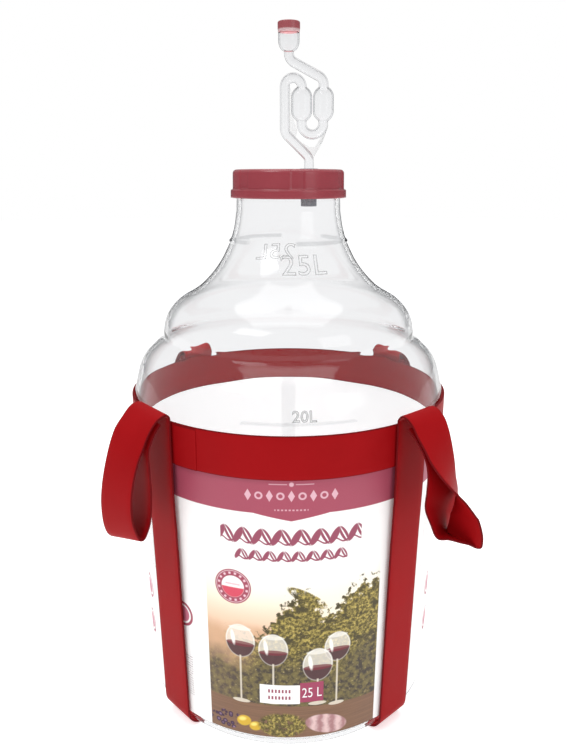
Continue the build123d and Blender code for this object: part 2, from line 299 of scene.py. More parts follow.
glass_low, glass_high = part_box("glass_bottle")
glass_wall = 4.0 * mm
base_corner = 16.0 * mm
body_radius = 150.2 * mm
body_radius_low = 146.0 * mm
punt_radius = 104.0 * mm
punt_height = 13.0 * mm
neck_radius = 48.1 * mm
finish_radius = 46.6 * mm
finish_height = 17.5 * mm
mark_height = hoop_top + 142.0 * mm
thread_lead = 12.0 * mm
thread_starts = 2
shoulder_steps = [(147.2, 15), (143.4, 27.5), (137.7, 36.7), (128.6, 45.2), (120.9, 52),
                  (120.4, 58), (118.6, 67.5), (114.0, 77.0), (104.0, 87.0), (86.0, 98.0),
                  (73.6, 110.0), (64.2, 122.5), (57.8, 134.5), (54.6, 142.0), (51.2, 153.0),
                  (48.5, 168.0)]


def flowing(points, steps):
    """Points along a smooth curve through the given points."""
    points = [Vector(point) for point in points]
    curve = []
    for index in range(len(points) - 1):
        here, there = points[index], points[index + 1]
        before = points[max(0, index - 1)]
        after = points[min(len(points) - 1, index + 2)]
        reach = (there - here).length / 3
        leave = (there - before).normalized() * reach
        arrive = (after - here).normalized() * reach
        piece = geometry.interpolate_bezier(here, here + leave, there - arrive, there, steps + 1)
        curve += piece[:-1]
    return curve + [points[-1]]


def heading(line, index):
    """Unit direction of a line at one of its points."""
    return (line[min(index + 1, len(line) - 1)] - line[max(index - 1, 0)]).normalized()


def corner(start, turn, end, steps):
    """Points round a corner, from start to end, bending towards turn."""
    start, turn, end = Vector(start), Vector(turn), Vector(end)
    pull = 0.5523
    return geometry.interpolate_bezier(
        start, start.lerp(turn, pull), end.lerp(turn, pull), end, steps + 1)


def straight(start, end, steps):
    start, end = Vector(start), Vector(end)
    return [start.lerp(end, index / steps) for index in range(steps + 1)]


def joined(*runs):
    """Runs of points end to end, without the doubled points where they meet."""
    line = []
    for run in runs:
        for point in run:
            point = Vector(point).to_2d()
            if not line or (point - line[-1]).length > 1e-6:
                line.append(point)
    return line


def traced(here, *legs):
    """Points along legs: (end, steps) runs straight, (turn, end, steps) round a corner."""
    runs = []
    for *places, steps in legs:
        follow = corner if len(places) == 2 else straight
        runs.append(follow(here, *places, steps))
        here = places[-1]
    return joined(*runs)


def mended(shape):
    """The shape with doubled points merged and its faces turned outward."""
    bmesh.ops.remove_doubles(shape, verts=shape.verts, dist=1e-6)
    bmesh.ops.recalc_face_normals(shape, faces=shape.faces)
    return shape


def turned(profile, steps, closed=True):
    """A shape turned on a lathe from points (radius, height) about the Z axis."""
    shape = bmesh.new()
    points = [shape.verts.new((point[0], 0, point[1])) for point in profile]
    edges = [shape.edges.new(pair) for pair in zip(points, points[1:])]
    if closed:
        edges.append(shape.edges.new((points[-1], points[0])))
    bmesh.ops.spin(shape, geom=points + edges, cent=(0, 0, 0), axis=(0, 0, 1),
                   angle=2 * math.pi, steps=steps, use_merge=True)
    return mended(shape)


def azimuth_of(point):
    """Degrees from the front (-Y), growing towards +X."""
    return math.degrees(math.atan2(point.x, -point.y))


def ease(value, low, high):
    share = max(0.0, min(1.0, (value - low) / (high - low)))
    return share * share * (3 - 2 * share)


def swell(shape, rise):
    """Move each vertex in or out from the axis by rise(azimuth, radius, height)."""
    for vertex in shape.verts:
        radius = math.hypot(vertex.co.x, vertex.co.y)
        if radius > 1e-5:
            more = rise(azimuth_of(vertex.co), radius, vertex.co.z)
            vertex.co.xy *= (radius + more) / radius


def thread_rise(azimuth, height, low, high):
    """Height share of a two-start right-hand thread, faded out at its ends."""
    turn = (height / thread_lead - azimuth / 360) * thread_starts
    offset = abs(turn - round(turn)) / thread_starts * thread_lead
    fade = ease(height, low, low + 1.6 * mm) * (1 - ease(height, high - 1.6 * mm, high))
    return (1 - ease(offset, 0.5 * mm, 1.4 * mm)) * fade


foot, brim = glass_low.z, glass_high.z
outer_low = foot + base_corner
body_top = hoop_top + 2 * mm
shoulder = flowing([(body_radius, body_top)]
                   + [(r * mm, hoop_top + z * mm) for r, z in shoulder_steps], 6)
neck_low = brim - finish_height - 2 * mm
neck_fillet = 2.4 * mm
lip = 1.6 * mm
glass_outside = joined(
    flowing([(0, foot + punt_height), (punt_radius * 0.5, foot + punt_height * 0.78),
             (punt_radius * 0.86, foot + punt_height * 0.3), (punt_radius, foot)], 6),
    traced((punt_radius, foot), ((body_radius_low - base_corner, foot), 3),
           ((body_radius_low, foot), (body_radius_low, outer_low), 10),
           ((body_radius, body_top), 14)),
    shoulder,
    traced(shoulder[-1], ((neck_radius, neck_low), 5),
           ((finish_radius + 0.2 * mm, neck_low + 1 * mm),
            (finish_radius, neck_low + neck_fillet), 3),
           ((finish_radius, brim - lip), 34),
           ((finish_radius, brim), (finish_radius - lip, brim), 5)))


def inside_of(profile, wall):
    """The same line moved towards the axis side by the wall."""
    moved = []
    for index, point in enumerate(profile):
        along = heading(profile, index)
        moved.append(point + Vector((-along.y, along.x)) * wall)
    return moved


lip_start = next(i for i, point in enumerate(glass_outside) if point.y > neck_low)
shoulder_inside = inside_of(glass_outside[:lip_start], glass_wall)
shoulder_inside = [point for point in shoulder_inside if point.x >= 0]
shoulder_inside[0].x = 0
bore = finish_radius - glass_wall
glass_inside = joined(shoulder_inside, traced(
    shoulder_inside[-1], ((bore, neck_low), (bore, neck_low + 4 * mm), 3),
    ((bore, brim - lip), 4), ((bore, brim), (bore + lip, brim - 0.02 * mm), 4)))
glass_shape = turned(joined(glass_outside, reversed(glass_inside)), 240, closed=False)

# The ring is broken at the front and at the rear, above its numbers: the degrees where
# each break fades in and out.
front_break = (-44, -41, 6, 9)
rear_break = (139, 142, -174, -171)
line_rise = 8 * mm


def moulded(azimuth, radius, height):
    """Raised ring, lower mark and thread on the outside of the glass."""
    rise = 0.0
    on_throat = 50 * mm < radius < 60 * mm
    ring = 1 - ease(abs(height - mark_height), 0.5 * mm, 2.2 * mm)
    if on_throat and ring:
        front = ease(azimuth, *front_break[:2]) * (1 - ease(azimuth, *front_break[2:]))
        back = ease(azimuth, *rear_break[:2]) + (1 - ease(azimuth, *rear_break[2:]))
        rise += 1.3 * mm * ring * (1 - front) * (1 - min(1.0, back))
    lower = 1 - ease(abs(height - hoop_top - line_rise), 0.3 * mm, 1.2 * mm)
    if lower and radius > 148 * mm:
        rise += 0.5 * mm * lower * ease(azimuth, -16, -15) * (1 - ease(azimuth, 22, 23))
    if height > neck_low and abs(radius - finish_radius) < 0.1 * mm:
        rise += 1.75 * mm * thread_rise(azimuth, height, neck_low + 3.4 * mm, brim - 2 * mm)
    return rise


swell(glass_shape, moulded)
bottle = finished("bottle", glass_shape, 70)
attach(bottle, "bottle")
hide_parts("glass_bottle")

# The moulded marks carry painted shade, a little darker than the rest, in place of the
# shading of their low relief; the outlines are painted shade too, darker where the glass is seen
# edge on.
clear_tint = (0.98, 0.982, 0.985)
glass = Finish("clear glass", Roughness=0.0, IOR=1.06, Transmission_Weight=1.0,
               Coat_Weight=0.4, Coat_Roughness=0.02, Coat_IOR=1.5)
glass_x, glass_y, glass_z = glass.parts()
round_neck = glass_x.turn(-glass_y)
front_gap = round_neck.step(-0.77, -0.72) * (1 - round_neck.step(0.10, 0.16))
rear_gap = round_neck.step(2.43, 2.48) + 1 - round_neck.step(-3.04, -2.98)
ring_shade = 1 - (glass_z - mark_height).size().step(1.2 * mm, 2.4 * mm)
ring_shade = ring_shade * (1 - front_gap - rear_gap).held()
line_shade = 1 - (glass_z - hoop_top - line_rise).size().step(0.5 * mm, 1.3 * mm)
line_shade = line_shade * (round_neck.step(-0.28, -0.26) * (1 - round_neck.step(0.38, 0.40)))
glass_colour = glass.mix((ring_shade + line_shade).held() * 0.55, clear_tint, (0.60, 0.61, 0.62))
glass.mottle(glass.grazed().step(0.62, 0.95), glass_colour, (0.17, 0.18, 0.19))
glass.bump(glass.noise(9.0, 2.0), 0.25, 0.004)
glass.let_lamps_through()
bottle.data.materials.append(glass.material)

# ---- Raised numbers -----------------------------------------------------
# Volume numbers moulded into the glass: 25 L under the ring at the front and
# the rear, and 20 L above the lower mark. They stand half a millimetre proud.


def glass_radius(height):
    """Outer radius of the bottle at a height on its shoulder."""
    for low, high in zip(shoulder, shoulder[1:]):
        if low.y <= height <= high.y:
            return low.x + (high.x - low.x) * (height - low.y) / (high.y - low.y)
    return body_radius


# The raised figures are painted grey and half clear: painted shade in place of the dark edges their
# clear glass shows.
relief = Finish("moulded relief", Roughness=0.15, IOR=1.5)
relief_cloud = relief.noise(120.0, 3.0)
relief.mottle(relief_cloud, (0.28, 0.29, 0.29), (0.50, 0.51, 0.51))
relief.set("Alpha", 0.26 + 0.34 * relief_cloud)


def lettering(name, words, size, **settings):
    """Centred figures of the built-in typeface, flat in the XY plane, as a bmesh."""
    text = bpy.data.curves.new(name, "FONT")
    settings.update(body=words, size=size, align_x="CENTER", resolution_u=4)
    for setting, value in settings.items():
        setattr(text, setting, value)
    holder = bpy.data.objects.new(name, text)
    bpy.context.collection.objects.link(holder)
    flat = bpy.data.meshes.new_from_object(holder)
    bpy.data.objects.remove(holder)
    shape = bmesh.new()
    shape.from_mesh(flat)
    bpy.data.meshes.remove(flat)
    return shape


def round_point(radius, turn, height):
    """The point at a radius and height, some radians round from the front."""
    return radius * math.sin(turn), -radius * math.cos(turn), height


def raised_text(name, words, letter_height, azimuth, base_height, tilt):
    """Block figures as raised outlines, wrapped on to the glass."""
    shape = lettering(name, words, letter_height / 0.7, fill_mode="NONE", bevel_depth=0.42 * mm,
                      bevel_resolution=2, space_character=1.05)
    bmesh.ops.remove_doubles(shape, verts=shape.verts, dist=1e-6)
    for vertex in shape.verts:
        height = base_height + vertex.co.y * tilt
        radius = glass_radius(height)
        turn = math.radians(azimuth) + vertex.co.x / radius
        vertex.co = round_point(radius + vertex.co.z + 0.05 * mm, turn, height)
    piece = finished(name, shape, 35)
    piece.data.materials.append(relief.material)
    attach(piece, "bottle")


raised_text("front-full-mark", "25L", 19 * mm, 12.5, hoop_top + 117 * mm, 0.86)
raised_text("rear-full-mark", "25L", 19 * mm, 180 + 12.5, hoop_top + 117 * mm, 0.86)
raised_text("lower-mark-number", "20L", 9 * mm, 5, hoop_top + 10.5 * mm, 0.98)

# ---- Label --------------------------------------------------------------
# One sheet of coated paper printed on the outside and white on the inside,
# wrapped right round the body and glued where its ends lap at the rear.

label_low, label_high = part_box("label")
paper = 0.2 * mm
label_gap = 0.1 * mm


def body_radius_at(height):
    share = (height - outer_low) / (hoop_top - outer_low)
    return body_radius_low + (body_radius - body_radius_low) * share


label_shape = bmesh.new()
label_shape.loops.layers.uv.new("sheet")
bmesh.ops.create_grid(label_shape, x_segments=180, y_segments=24, size=0.5, calc_uvs=True)
for vertex in label_shape.verts:
    height = label_low.z + (vertex.co.y + 0.5) * (label_high.z - label_low.z)
    radius = body_radius_at(height) + label_gap + paper
    vertex.co = round_point(radius, vertex.co.x * 2 * math.pi, height)
mended(label_shape)
bmesh.ops.solidify(label_shape, geom=label_shape.faces[:], thickness=paper)
label_shape.normal_update()
for face in label_shape.faces:
    middle = face.calc_center_median()
    if face.normal.dot(Vector((middle.x, middle.y, 0)).normalized()) < 0.5:
        face.material_index = 1
label = finished("label", label_shape)
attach(label, "bottle")
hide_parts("label")

# The print: places are millimetres along the sheet from the middle of the front, and
# up from the floor.
sheet = Finish("label print", Roughness=0.38, Specular_IOR_Level=0.3)
sheet_u, sheet_v, _ = sheet.parts("UV")
girth = 2 * math.pi * (body_radius_at((label_low.z + label_high.z) / 2) + paper) / mm
side = (sheet_u - 0.5) * girth - 2.5
tall = sheet_v * ((label_high.z - label_low.z) / mm) + label_low.z / mm
flat = sheet.together(side, tall)
plum = ink(162, 71, 91)
deep_plum = ink(150, 72, 94)
white = ink(252, 251, 250)


def inside(amount, low, high, soft=0.35):
    return amount.step(low - soft, low + soft) * (1 - amount.step(high - soft, high + soft))


def patch(left, right, low, high, soft=0.3):
    return inside(side, left, right, soft) * inside(tall, low, high, soft)


def oval(x, z, half_width, half_height, soft=0.5, tilt=0.0, place=side):
    """A filled ellipse on the sheet, tilted by some degrees."""
    across_it, up_it = place - x, tall - z
    lean = math.radians(tilt)
    along_it = (across_it * math.cos(lean) + up_it * math.sin(lean)) / half_width
    over_it = (up_it * math.cos(lean) - across_it * math.sin(lean)) / half_height
    away = (along_it * along_it + over_it * over_it).root()
    return 1 - away.step(1 - soft / half_width, 1 + soft / half_width)


def ring_of(x, z, radius, width):
    return oval(x, z, radius, radius) * (1 - oval(x, z, radius - width, radius - width))


# Vineyard picture: a hazy sky, hills, sunlit leaves and a dark garden below.
leaves_noise = sheet.noise(0.16, 5.0, 0.62, flat)
fine_leaves = sheet.noise(0.34, 4.0, 0.62, flat)
soft_noise = sheet.noise(0.035, 2.0, at=flat)
hill = tall + soft_noise * 26
ridge = 122 + side.step(-34, 8) * 44 - inside(side, 22, 46, 9.0) * 20 + side.step(44, 84) * 6
shade = tall - ridge + (leaves_noise - 0.5) * 70
foliage = (1 - shade.step(-3.0, 3.0)) * side.step(-70, -20)
clumps = (leaves_noise + (soft_noise - 0.5) * 0.5).step(0.36, 0.54)
leaf_colour = sheet.mix(fine_leaves.step(0.40, 0.66), ink(86, 76, 34), ink(190, 170, 88))
leaf_colour = sheet.layers(sheet.mix(clumps, ink(70, 62, 34), leaf_colour),
                           (ink(232, 206, 150), fine_leaves.step(0.64, 0.74) * 0.8))
branch = oval(14, 164, 20, 5.5, 2.0, -32) * leaves_noise.step(0.40, 0.50)
dusk = 1 - (tall + (soft_noise - 0.5) * 60).step(84, 118)
garden = sheet.layers(
    sheet.mix(leaves_noise.step(0.38, 0.62), ink(62, 54, 48), ink(116, 104, 62)),
    (ink(196, 176, 128), fine_leaves.step(0.60, 0.68) * 0.5))
table = 1 - (tall + side * 0.03).step(52, 54)
wood = sheet.noise(1.0, 4.0, at=sheet.together(side * 0.02, tall * 0.9))
picture = sheet.layers(
    ink(254, 252, 245),
    (ink(252, 243, 222), 1 - tall.step(150, 200)),
    (ink(236, 196, 164), (1 - tall.step(128, 172)) * (1 - side.step(-10, 46)) * 0.9),
    (ink(205, 160, 122), (1 - hill.step(134, 152)) * 0.8),
    (leaf_colour, foliage),
    (leaf_colour, branch),
    (garden, dusk * 0.93),
    (sheet.mix(wood, ink(96, 70, 56), ink(150, 112, 84)), table))

# Four stemmed glasses of red wine that stand on the table.
for x, z, wide in ((-46, 118, 13.5), (-16, 112, 13.0), (42, 112, 12.0), (24, 96, 13.5)):
    stands_at = 52 + x % 7
    bowl = oval(x, z, wide, wide * 1.22, 0.8)
    bowl_inside = oval(x, z, wide * 0.94, wide * 1.16, 0.5)
    rim = oval(x, z + wide * 0.95, wide * 0.78, wide * 0.16, 0.5)
    wine = bowl * (1 - tall.step(z - wide * 0.28, z - wide * 0.16))
    surface = oval(x, z - wide * 0.22, wide * 0.97, wide * 0.2, 0.6)
    stem = patch(x - 0.8, x + 0.8, stands_at, z - wide * 1.1, 0.5)
    base = oval(x, stands_at, wide * 0.62, 2.0, 0.6)
    gleam = oval(x - wide * 0.5, z + wide * 0.2, wide * 0.14, wide * 0.55, 0.6, 8)
    picture = sheet.layers(
        picture,
        (ink(246, 240, 228), bowl * (1 - bowl * 0.42)),
        (ink(250, 247, 240), bowl * (1 - bowl_inside) * 0.8),
        (ink(66, 18, 30), wine * 0.95),
        (ink(118, 44, 54), surface * 0.85),
        (ink(236, 226, 208), (stem + base).held() * 0.75),
        (ink(255, 253, 246), (gleam * 0.85 + rim * 0.45).held()))

# A bowl of grapes, two lemons, vine leaves and a folded cloth on the table.
grape = sheet.node("ShaderNodeTexVoronoi", Vector=flat, Scale=0.19, Randomness=0.7)
grape_round = sheet.amount(grape.outputs["Distance"])
bunch = oval(-62, 30, 17, 10, 1.0, 12) * (1 - grape_round.step(0.42, 0.55))
grape_colour = sheet.mix(grape_round.step(0.0, 0.42), ink(150, 120, 150), ink(58, 32, 62))
picture = sheet.layers(picture, (grape_colour, bunch))
for x, z, wide in ((-44, 33, 7.0), (-33, 29, 6.0)):
    picture = sheet.layers(
        picture,
        (ink(214, 174, 50), oval(x, z, wide, wide * 0.8, 0.8, 18)),
        (ink(250, 226, 120), oval(x - 1.5, z + 1.6, wide * 0.5, wide * 0.3, 1.6, 18)))
folds = ((side * 0.55 + leaves_noise * 5).wave() + 1) * 0.5
picture = sheet.layers(
    picture,
    (leaf_colour, oval(-8, 32, 22, 13, 2.5) * leaves_noise.step(0.36, 0.44)),
    (sheet.mix(folds, ink(168, 122, 124), ink(224, 192, 190)), oval(33, 31, 20, 10, 1.2, -14)))

# Header with a point in the middle, and ornaments in place of words: a dot between
# lines, a row of beads and lozenges by turns, and a row of dashes.
picture_edge = patch(-78, 83, 0, 196) * (1 - tall.step(176, 198))
point = (1 - (side.size() / 32)).held() * 6.5
header = 1 - (244.2 - point - tall).step(-0.4, 0.4)
pale = ink(222, 176, 188)
bead_height = 260.5
bead_pitch = 9.0
bead = (side / bead_pitch + 0.5).repeated() * bead_pitch - bead_pitch / 2
odd_bead = (side / (2 * bead_pitch) + 0.25).repeated().step(0.49, 0.51)
berry, hollow = (oval(0, bead_height, size, size, 0.4, place=bead) for size in (3.4, 1.9))
lozenge = 1 - (bead.size() / 3.0 + (tall - bead_height).size() / 5.4).step(0.9, 1.02)
beads = berry * (1 - hollow) * odd_bead + lozenge * (1 - odd_bead)
dashes = inside((side / 3.1).repeated(), 0.26, 0.82, 0.04)


def garland(middle, leaf, pitch, reach):
    """A row of slanted leaves on a wavy stem."""
    cell = (side / pitch).repeated() * pitch - pitch / 2
    turn_over = (side / (2 * pitch)).repeated().step(0.495, 0.505)
    one = oval(0, middle, leaf * 0.36, leaf, 0.4, 28, cell)
    other = oval(0, middle, leaf * 0.36, leaf, 0.4, -28, cell)
    vein = oval(0, middle, leaf * 0.07, leaf * 0.8, 0.3, 28, cell)
    stem_line = middle - leaf * 0.55 + (side * (math.pi / pitch)).wave() * (leaf * 0.22)
    stem = 1 - (tall - stem_line).size().step(0.5, 1.1)
    leaves = one * turn_over * (1 - vein) + other * (1 - turn_over)
    return deep_plum, (leaves + stem).held() * inside(side, -reach, reach, 0.5)


def seal_mark(x, z, radius):
    """A round mark: plum ring with dots, pale above, wine below."""
    middle = oval(x, z, radius * 0.62, radius * 0.62)
    level = patch(x - radius * 0.4, x + radius * 0.4, z + radius * 0.1, z + radius * 0.2)
    round_it = ((side - x).turn(tall - z) * (16 / (2 * math.pi))).repeated()
    bars = inside(round_it, 0.3, 0.7, 0.12) * ring_of(x, z, radius * 0.84, radius * 0.12)
    return ((plum, oval(x, z, radius, radius)),
            (ink(240, 214, 220), ring_of(x, z, radius * 0.93, 0.5)),
            (white, middle),
            (ink(214, 74, 96), middle * (1 - tall.step(z - radius * 0.08, z))),
            (ink(216, 140, 156), level * 0.6),
            (ink(236, 202, 212), bars))


# Side and rear of the wrap: small marks in rows, round seals and a scale of lines.
far = (side + 2.5).size()
rows = inside((tall / 2.6).repeated(), 0.325, 0.675, 0.075)
dots = inside((side / 1.5).repeated(), 0.375, 0.675, 0.075)
word_noise = sheet.noise(0.7, 1.0, at=sheet.together(side * 0.9, (tall / 2.6 - 0.5) * 4.0))
blocks = sum(inside(far, left, right, 0.5) * inside(tall, low, high, 0.5)
             for left, right, low, high in ((150, 215, 150, 228), (240, 330, 60, 228),
                                            (96, 112, 40, 84))).held()
scale_lines = inside(far, 352, 362, 0.4) * inside(tall, 40, 230, 0.5)
scale_lines = scale_lines * (tall / 10.0).repeated().step(0.9, 0.95)
seals = []
for x, z in ((-108, 126), (182, 118), (182, 78), (-182, 118), (-182, 78)):
    seals += [(ink(196, 112, 134), oval(x, z, 8.0, 8.0)), (plum, ring_of(x, z, 12.5, 2.6))]

# Everything on the sheet, each over what comes before it.
fibre = sheet.noise(1.6, at=flat)
sheet.set("Base Color", sheet.layers(
    white,
    (picture, picture_edge),
    (sheet.mix(soft_noise, plum, ink(167, 75, 95)), header),
    (pale, patch(-18.5, -3.5, 270.6, 271.4) * 0.8),
    (pale, patch(3.5, 18.5, 270.6, 271.4) * 0.8),
    (pale, oval(0, 271, 1.9, 1.9)),
    (pale, beads * inside(side, -40.5, 40.5, 0.3)),
    (pale, patch(-14, 14, 247.2, 248.6) * dashes * 0.8),
    garland(222.5, 8.6, 8.2, 61.5),
    garland(204.8, 5.6, 6.1, 48.8),
    *seal_mark(-51.5, 171.5, 16.8),
    (white, patch(-28.5, 8.0, 55.5, 75.5)),
    (deep_plum, patch(-21, 1, 67.2, 70.8) * dashes),
    (deep_plum, patch(-21, 1, 60.2, 63.8) * dashes),
    (ink(158, 62, 92), patch(8.0, 29.5, 57.0, 77.8)),
    (ink(150, 120, 130), patch(88.5, 95.5, 111, 186) * rows * dots * 0.7),
    (ink(120, 104, 110), blocks * rows * word_noise.step(0.42, 0.5) * 0.75),
    *seals,
    (plum, scale_lines),
    (ink(214, 206, 200), (fibre - 0.5).held() * 0.12)))
sheet.set("Roughness", 0.34 + 0.1 * fibre)
sheet.bump(fibre, 0.12, 0.0003)
label.data.materials.append(sheet.material)

# The paper is white inside, and the lap shows as a faint grey band. The inside also glows a little:
# painted light in place of the light that comes through the thin paper.
backing = Finish("label backing", Roughness=0.6, Emission_Color=(1.0, 1.0, 1.0),
                 Emission_Strength=0.3)
back_u = backing.parts("UV")[0]
lap_band = 1 - (0.5 - (back_u - 0.5).size()).step(0.0085, 0.0095)
paper_cloud = backing.noise(90.0, 3.0)
backing_colour = backing.mix(paper_cloud, (0.90, 0.90, 0.90), (0.94, 0.94, 0.94))
backing.mottle(lap_band * 0.5, backing_colour, (0.62, 0.62, 0.63))
label.data.materials.append(backing.material)

# The number in the capacity box, in white ink that stands a hair proud.
capacity_shape = lettering("capacity-number", "25 L", 14.5 * mm)
for vertex in capacity_shape.verts:
    height = 62.2 * mm + vertex.co.y
    radius = body_radius_at(height) + label_gap + paper + 0.08 * mm
    vertex.co = round_point(radius, (21.2 * mm + vertex.co.x * 0.72) / radius, height)
capacity_shape.normal_update()
for face in capacity_shape.faces:
    if face.normal.y > 0:
        face.normal_flip()
number = finished("capacity-number", capacity_shape)
white_ink = Finish("white ink", Roughness=0.45)
ink_cloud = white_ink.noise(900.0, 2.0)
white_ink.mottle(ink_cloud, (0.86, 0.84, 0.85), (0.94, 0.93, 0.93))
number.data.materials.append(white_ink.material)
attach(number, "bottle")

# ---- Seal ---------------------------------------------------------------
# A flat ring of pale foam between the lip of the glass and the cap.

seal_low, seal_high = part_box("cap_seal")
seal_edge = 0.4 * mm
seal_foot, seal_top = seal_low.z, seal_high.z
seal_shape = turned(traced(
    (bore, seal_foot + seal_edge),
    ((bore, seal_foot), (bore + seal_edge, seal_foot), 3),
    ((finish_radius - seal_edge, seal_foot), 1),
    ((finish_radius, seal_foot), (finish_radius, seal_foot + seal_edge), 3),
    ((finish_radius, seal_top - seal_edge), 1),
    ((finish_radius, seal_top), (finish_radius - seal_edge, seal_top), 3),
    ((bore + seal_edge, seal_top), 1),
    ((bore, seal_top), (bore, seal_top - seal_edge), 3)), 96)
seal = finished("seal-ring", seal_shape)
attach(seal, "seal")
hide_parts("cap_seal")
foam = Finish("pale foam", Roughness=0.85)
cells = foam.noise(1800.0, 2.0)
foam.mottle(cells, (0.66, 0.65, 0.61), (0.82, 0.81, 0.78))
foam.bump(cells, 0.5, 0.0004)
seal.data.materials.append(foam.material)

# ---- Screw cap ----------------------------------------------------------
# Injection moulded red plastic: a rounded top edge, a flange round the rim,
# shallow flutes for the fingers, and a two-start thread inside.

cap_low, cap_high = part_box("screw_cap")
cap_radius = 51.4 * mm
cap_wall = 2.4 * mm
cap_top_thickness = 3.2 * mm
cap_edge = 3.5 * mm
flange_radius = cap_high.x - 0.05 * mm
flange_height = 7.5 * mm
flute_count = 6
flute_half = 7.2
flute_depth = 0.9 * mm
flute_first = 9.0
grommet_low, grommet_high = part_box("grommet")
stem_x = (grommet_low.x + grommet_high.x) / 2
cap_bore = cap_radius - cap_wall
cap_rim, cap_top = cap_low.z, cap_high.z
rim_edge = 0.6 * mm
skirt = cap_radius + 0.2 * mm
flange_edge = flange_radius - 0.1 * mm
flange_top = cap_rim + flange_height
ceiling = cap_top - cap_top_thickness
cap_shape = turned(traced(
    (0, cap_top),
    ((cap_radius - cap_edge, cap_top), 30),
    ((cap_radius, cap_top), (cap_radius, cap_top - cap_edge), 8),
    ((skirt, flange_top + 1.2 * mm), 12),
    ((skirt, flange_top), (cap_radius + 1 * mm, flange_top), 4),
    ((flange_edge - 1 * mm, flange_top), 1),
    ((flange_edge, flange_top), (flange_edge, flange_top - 1.2 * mm), 5),
    ((flange_radius, cap_rim + rim_edge), 5),
    ((flange_radius, cap_rim), (flange_radius - rim_edge, cap_rim), 3),
    ((cap_bore + rim_edge, cap_rim), 4),
    ((cap_bore, cap_rim), (cap_bore, cap_rim + rim_edge), 3),
    ((cap_bore, ceiling - 1 * mm), 30),
    ((cap_bore, ceiling), (cap_bore - 1 * mm, ceiling), 3),
    ((0, ceiling), 28)), 360, closed=False)


def cap_relief(azimuth, radius, height):
    """Flutes on the outside and the thread on the inside."""
    pitch = 360 / flute_count
    nearest = (azimuth - flute_first + pitch / 2) % pitch - pitch / 2
    flute = 1 - ease(abs(nearest), flute_half - 1.2, flute_half)
    rise = 0.0
    if radius > cap_radius - 2 * cap_edge and height > flange_top - 0.1 * mm:
        near_edge = ease(radius, cap_radius - 1.6 * cap_edge, cap_radius - 0.4 * cap_edge)
        near_flange = ease(height, flange_top, flange_top + 1.4 * mm)
        rise -= flute_depth * flute * near_edge * near_flange
    if abs(radius - cap_bore) < 0.1 * mm:
        half_lead = thread_lead / thread_starts / 2
        rise -= 1.7 * mm * thread_rise(azimuth, height + half_lead, cap_rim + 2 * mm + half_lead,
                                       ceiling - 1 * mm + half_lead)
    return rise


swell(cap_shape, cap_relief)
cap = finished("screw-cap", cap_shape, 50)
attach(cap, "cap")
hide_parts("screw_cap")

raspberry = Finish("raspberry plastic", Roughness=0.22, Specular_IOR_Level=0.5)
cloud = raspberry.noise(45.0, 4.0)
grain = raspberry.noise(2600.0, 2.0)
raspberry.mottle(cloud, (0.25, 0.034, 0.046), (0.29, 0.042, 0.055))
raspberry.set("Roughness", 0.2 + 0.1 * cloud)
raspberry.bump(grain, 0.08, 0.0002)
cap.data.materials.append(raspberry.material)

# ---- Grommet ------------------------------------------------------------
# A grey rubber sleeve pushed through the cap, which grips the airlock's stem.

grommet_radius = 7.4 * mm
grommet_head = grommet_high.x - stem_x
stem_radius = 4.3 * mm
grommet_bore = stem_radius + 0.05 * mm
soft_edge = 0.5 * mm
head_low = cap_top + 0.05 * mm
grommet_shape = turned(traced(
    (grommet_bore, grommet_high.z),
    ((grommet_head - soft_edge, grommet_high.z), 2),
    ((grommet_head, grommet_high.z), (grommet_head, grommet_high.z - 0.3 * mm), 4),
    ((grommet_head, head_low), 1),
    ((grommet_radius, head_low), 2),
    ((grommet_radius, grommet_low.z + soft_edge), 8),
    ((grommet_radius, grommet_low.z), (grommet_radius - soft_edge, grommet_low.z), 4),
    ((grommet_bore, grommet_low.z), 2)), 72)
bmesh.ops.translate(grommet_shape, verts=grommet_shape.verts, vec=(stem_x, 0, 0))
grommet = finished("grommet", grommet_shape)
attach(grommet, "grommet")
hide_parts("grommet")
rubber = Finish("grey rubber", Roughness=0.6)
bloom = rubber.noise(300.0, 4.0)
rubber.mottle(bloom, (0.17, 0.18, 0.20), (0.24, 0.25, 0.28))
rubber.set("Roughness", 0.5 + 0.2 * bloom)
rubber.bump(bloom, 0.15, 0.0003)
grommet.data.materials.append(rubber.material)

# ---- Airlock ------------------------------------------------------------
# A bubbler moulded in clear plastic in one piece: a cup, an S of tube with two
# chambers, a stem, and a thin web between the tubes.


airlock_low, airlock_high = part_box("airlock")
tube = 4.3 * mm
tube_wall = 1.1 * mm
chamber = 9.3 * mm
chamber_foot = 42.5 * mm
chamber_head = 71.0 * mm
cup_x = -18.6 * mm
cup_foot = 101.0 * mm
cup_dome = 9.0 * mm
cup_rim = 7.6 * mm
cup_top = airlock_high.z - cap_top
cup_radius = 9.4 * mm
cup_neck = cup_radius - 0.8 * mm
side_tube = -22.3 * mm
left_chamber = -7.0 * mm
right_chamber = 12.6 * mm


def bend(before, turn, after, radius):
    """Points round a bend of a given radius between two straight runs."""
    before, turn, after = Vector(before), Vector(turn), Vector(after)
    into, out_of = (before - turn).normalized(), (after - turn).normalized()
    half_angle = into.angle(out_of) / 2
    reach = radius / math.tan(half_angle)
    pull = 4 / 3 * math.tan((math.pi / 2 - half_angle) / 2) * radius
    start, end = turn + into * reach, turn + out_of * reach
    return geometry.interpolate_bezier(start, start - into * pull, end - out_of * pull, end, 15)


